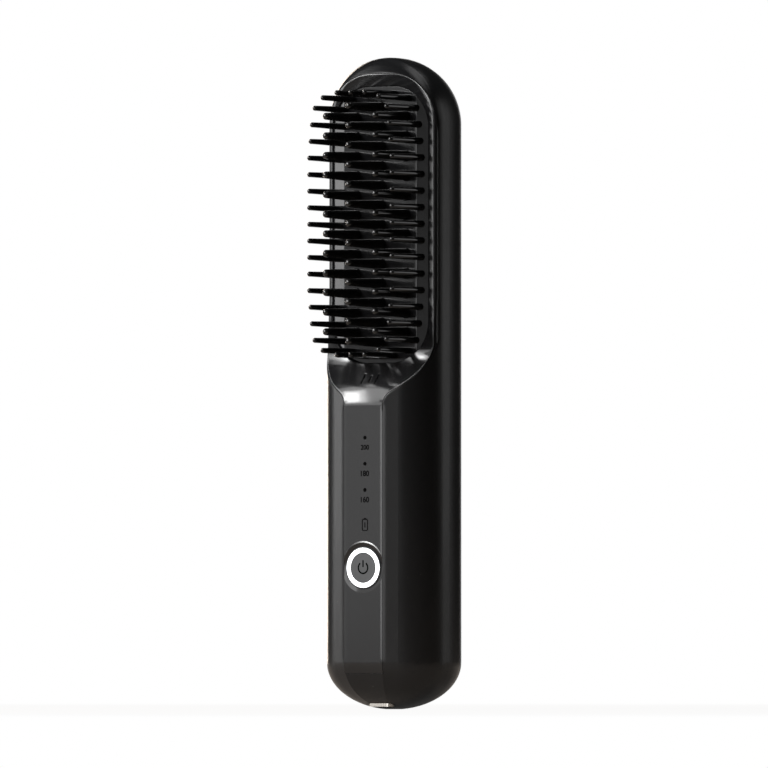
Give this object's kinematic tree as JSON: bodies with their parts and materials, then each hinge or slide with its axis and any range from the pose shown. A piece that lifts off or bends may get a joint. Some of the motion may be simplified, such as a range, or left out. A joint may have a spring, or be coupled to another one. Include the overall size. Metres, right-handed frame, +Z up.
{
  "type": "hair straightening brush",
  "caption": "Upright cordless heated hair brush: round black body, recessed head with bristles and heated teeth, flat front strip with a lit round power button.",
  "frame": {"origin": "lower end of the handle, on the axis of the round body", "axes": "+Z up the length of the brush, +X to its right, the bristles and the button face -Y"},
  "size_m": [0.0414, 0.0457, 0.2],
  "materials": {
    "body_black": "fine matt black moulding",
    "cover_black": "satin black moulding",
    "bed_black": "gloss black moulding",
    "bristle_black": "gloss black nylon",
    "tooth_black": "gloss black ceramic coat",
    "cast_plate": "cast, satin",
    "ceramic": "fired ceramic, matt",
    "film": "amber film",
    "steel": "rolled sheet",
    "silicone": "soft matt",
    "board": "green solder mask",
    "chip": "moulded black",
    "can": "sleeved can",
    "lamp": "clear lamp chip",
    "button_grey": "satin dark grey",
    "ring_white": "milky light guide",
    "lens_dark": "smoked window",
    "cell_wrap": "shrink wrap",
    "inner_plastic": "dark moulding",
    "nickel": "nickel plate",
    "wire": "soft insulation",
    "screw_steel": "zinc plate"
  },
  "bodies": {
    "brush": {"rear_housing": "body_black", "front_cover": "cover_black", "bristle_bed": "bed_black", "edge_bristles": "bristle_black", "heating_teeth": "tooth_black", "heating_plate": "cast_plate", "ptc_heater": "ceramic", "heater_insulation_film": "film", "heater_clamp": "steel", "heat_shield": "steel", "thermistor": "ceramic", "thermal_fuse": "ceramic", "bed_gasket": "silicone", "main_pcb": "board", "usb_pcb": "board", "mcu_chip": "chip", "power_mosfet": "chip", "boost_inductor": "chip", "filter_capacitors": "can", "indicator_leds": "lamp", "ring_leds": "lamp", "tact_switch": "chip", "light_shroud": "ring_white", "temperature_lenses": "lens_dark", "battery_lens": "lens_dark", "battery_cell": "cell_wrap", "battery_cradle": "inner_plastic", "battery_pads": "silicone", "battery_tabs": "nickel", "battery_leads": "wire", "heater_leads": "wire", "sensor_leads": "wire", "usb_leads": "wire", "usb_c_shell": "nickel", "usb_c_tongue": "chip", "plate_screws": "screw_steel", "shield_screws": "screw_steel", "board_screws": "screw_steel"},
    "power_button": {"button_cap": "button_grey", "button_light_ring": "ring_white", "switch_stem": "button_grey"}
  },
  "joints": [
    {"name": "button_press", "type": "slide", "parent": "brush", "child": "power_button", "axis": [0, 1, 0], "range_m": [0, 0.0005], "stiffness_N_per_m": 1500}
  ]
}
